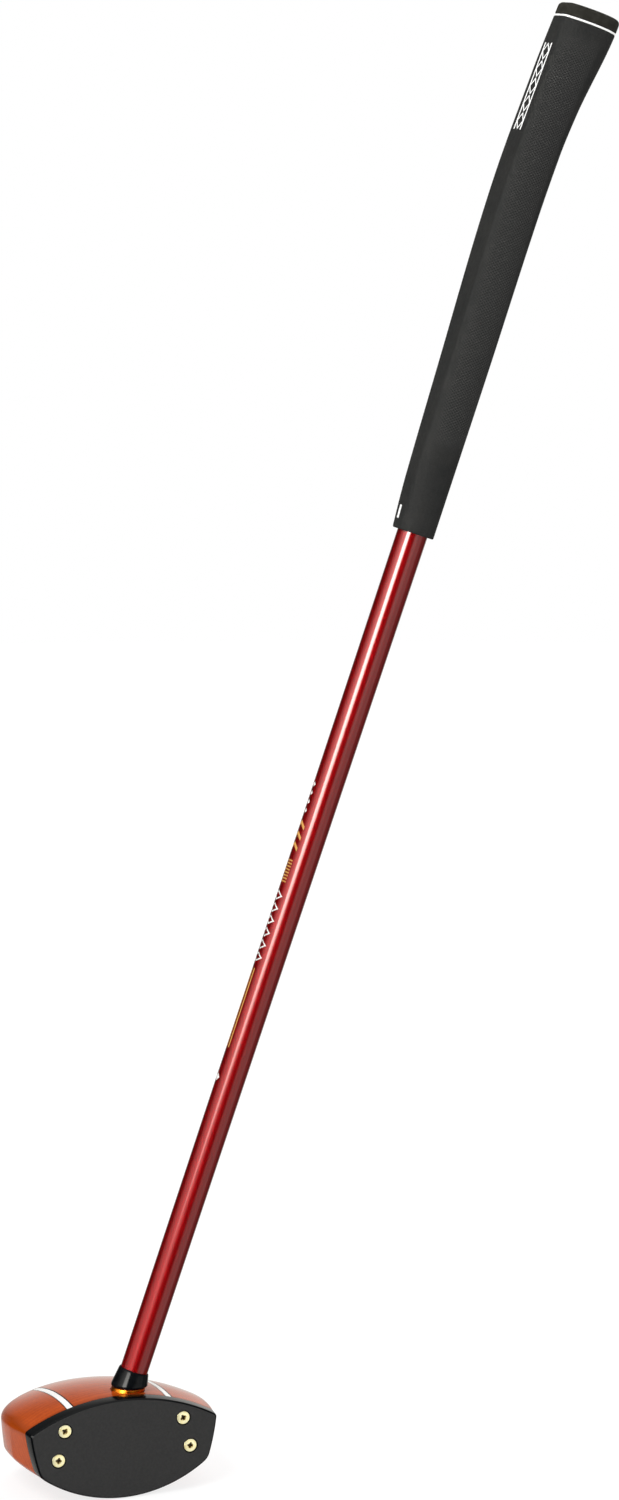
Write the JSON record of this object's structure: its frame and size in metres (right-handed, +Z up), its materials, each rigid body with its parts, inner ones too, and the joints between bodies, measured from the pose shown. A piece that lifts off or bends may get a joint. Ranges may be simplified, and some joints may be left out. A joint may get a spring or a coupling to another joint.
{
  "type": "park golf club",
  "caption": "Park golf club at address: lacquered wood mallet head with a screwed-on black striking plate, red tube shaft, ferrule and rubber grip with a thumb flat.",
  "frame": {"origin": "centre of the sole plate's flat underside, the surface the club stands on", "axes": "+X towards the heel, -Y out of the striking face, +Z up; the shaft rises towards +X at 70 degrees to the ground"},
  "size_m": [0.3494, 0.0799, 0.7948],
  "materials": {
    "wood": "hardwood under clear high-gloss orange-brown lacquer",
    "plate": "dense black resin, matt on the striking face, polished round its edge",
    "brass": "pale polished brass",
    "white_plastic": "satin white",
    "amber_metal": "amber anodised, polished",
    "black_plastic": "polished black",
    "shaft_lacquer": "carbon fibre tube under deep red metallic lacquer",
    "cork": "cut cork",
    "tape": "double-sided paper tape",
    "grip_rubber": "matt black, fine moulded texture",
    "cap_rubber": "matt grey-black"
  },
  "bodies": {
    "root": {"head_body": "wood", "face_plate": "plate", "face_screw_upper_toe": "brass", "face_screw_upper_heel": "brass", "face_screw_lower_toe": "brass", "face_screw_lower_heel": "brass", "alignment_line_toe": "white_plastic", "alignment_line_heel": "white_plastic", "sole_plate": "brass", "sole_screw_front_toe": "brass", "sole_screw_front_heel": "brass", "sole_screw_back_toe": "brass", "sole_screw_back_heel": "brass", "balance_weight": "brass", "ferrule_ring": "amber_metal", "ferrule": "black_plastic", "shaft": "shaft_lacquer", "shaft_tip_plug": "cork", "grip_tape": "tape", "grip": "grip_rubber", "grip_ring": "white_plastic", "grip_cap": "cap_rubber"}
  },
  "joints": []
}
